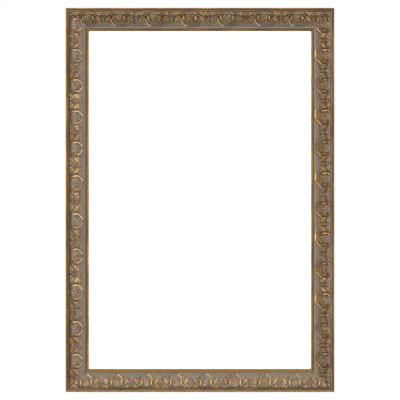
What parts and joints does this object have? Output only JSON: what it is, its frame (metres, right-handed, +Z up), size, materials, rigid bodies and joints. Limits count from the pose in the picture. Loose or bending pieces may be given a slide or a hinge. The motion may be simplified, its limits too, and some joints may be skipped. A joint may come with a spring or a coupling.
{
  "type": "picture frame",
  "caption": "Wall-hung wooden picture frame: mitred rails with egg-and-leaf ornament, gilt edges, a glazed rebate with a blank card, turn buttons and strap hangers.",
  "frame": {"origin": "On the wall plane, behind the middle of the frame: the plane is that of the two bumpers' rear faces.", "axes": "+Z is up along the long sides, +X is to the right as seen from the front, and +Y points into the wall, so the front looks along -Y."},
  "size_m": [0.5906, 0.035, 0.8446],
  "materials": {
    "gilt_wood": "antique gilt rubbed over a brown ground on wood",
    "washed_ornament": "wood-flour composition, gilt with a pewter-grey wash",
    "clear_glass": "clear picture glass",
    "white_card": "blank white card",
    "filler_cardboard": "plain brown card",
    "hardboard": "smooth brown hardboard",
    "zinc_plate": "bright zinc plate",
    "nail_steel": "bare steel",
    "felt": "dark brown felt"
  },
  "bodies": {
    "frame": {"bottom_rail": "gilt_wood", "left_rail": "gilt_wood", "top_rail": "gilt_wood", "right_rail": "gilt_wood", "bottom_ornament": "washed_ornament", "left_ornament": "washed_ornament", "top_ornament": "washed_ornament", "right_ornament": "washed_ornament", "glass_pane": "clear_glass", "picture_card": "white_card", "filler_board": "filler_cardboard", "backing_board": "hardboard", "v_nail_bottom_left_outer": "nail_steel", "v_nail_bottom_left_inner": "nail_steel", "v_nail_top_left_outer": "nail_steel", "v_nail_top_left_inner": "nail_steel", "v_nail_top_right_outer": "nail_steel", "v_nail_top_right_inner": "nail_steel", "v_nail_bottom_right_outer": "nail_steel", "v_nail_bottom_right_inner": "nail_steel", "turn_button_screw_bottom_1": "zinc_plate", "turn_button_screw_bottom_2": "zinc_plate", "turn_button_screw_left_1": "zinc_plate", "turn_button_screw_left_2": "zinc_plate", "turn_button_screw_top_1": "zinc_plate", "turn_button_screw_top_2": "zinc_plate", "turn_button_screw_right_1": "zinc_plate", "turn_button_screw_right_2": "zinc_plate", "hanger_strap_left": "zinc_plate", "hanger_strap_right": "zinc_plate", "hanger_screw_left_upper": "zinc_plate", "hanger_screw_left_lower": "zinc_plate", "hanger_screw_right_upper": "zinc_plate", "hanger_screw_right_lower": "zinc_plate", "bumper_left": "felt", "bumper_right": "felt"},
    "turn_button_bottom_1": {"turn_button_bottom_1": "zinc_plate"},
    "turn_button_bottom_2": {"turn_button_bottom_2": "zinc_plate"},
    "turn_button_left_1": {"turn_button_left_1": "zinc_plate"},
    "turn_button_left_2": {"turn_button_left_2": "zinc_plate"},
    "turn_button_top_1": {"turn_button_top_1": "zinc_plate"},
    "turn_button_top_2": {"turn_button_top_2": "zinc_plate"},
    "turn_button_right_1": {"turn_button_right_1": "zinc_plate"},
    "turn_button_right_2": {"turn_button_right_2": "zinc_plate"},
    "hanger_ring_left": {"hanger_ring_left": "zinc_plate"},
    "hanger_ring_right": {"hanger_ring_right": "zinc_plate"}
  },
  "joints": [
    {"name": "button_bottom_1_turn", "type": "hinge", "parent": "frame", "child": "turn_button_bottom_1", "pos_m": [-0.132, -0.00495, -0.3925], "axis": [0, 1, 0], "continuous": true},
    {"name": "button_bottom_2_turn", "type": "hinge", "parent": "frame", "child": "turn_button_bottom_2", "pos_m": [0.132, -0.00495, -0.3925], "axis": [0, 1, 0], "continuous": true},
    {"name": "button_left_1_turn", "type": "hinge", "parent": "frame", "child": "turn_button_left_1", "pos_m": [-0.2655, -0.00495, 0.2], "axis": [0, 1, 0], "continuous": true},
    {"name": "button_left_2_turn", "type": "hinge", "parent": "frame", "child": "turn_button_left_2", "pos_m": [-0.2655, -0.00495, -0.2], "axis": [0, 1, 0], "continuous": true},
    {"name": "button_top_1_turn", "type": "hinge", "parent": "frame", "child": "turn_button_top_1", "pos_m": [0.132, -0.00495, 0.3925], "axis": [0, 1, 0], "continuous": true},
    {"name": "button_top_2_turn", "type": "hinge", "parent": "frame", "child": "turn_button_top_2", "pos_m": [-0.132, -0.00495, 0.3925], "axis": [0, 1, 0], "continuous": true},
    {"name": "button_right_1_turn", "type": "hinge", "parent": "frame", "child": "turn_button_right_1", "pos_m": [0.2655, -0.00495, -0.2], "axis": [0, 1, 0], "continuous": true},
    {"name": "button_right_2_turn", "type": "hinge", "parent": "frame", "child": "turn_button_right_2", "pos_m": [0.2655, -0.00495, 0.2], "axis": [0, 1, 0], "continuous": true},
    {"name": "ring_left_swing", "type": "hinge", "parent": "frame", "child": "hanger_ring_left", "pos_m": [-0.2753, -0.0031, 0.14], "axis": [1, 0, 0], "range_deg": [0, 180]},
    {"name": "ring_right_swing", "type": "hinge", "parent": "frame", "child": "hanger_ring_right", "pos_m": [0.2753, -0.0031, 0.14], "axis": [1, 0, 0], "range_deg": [0, 180]}
  ]
}
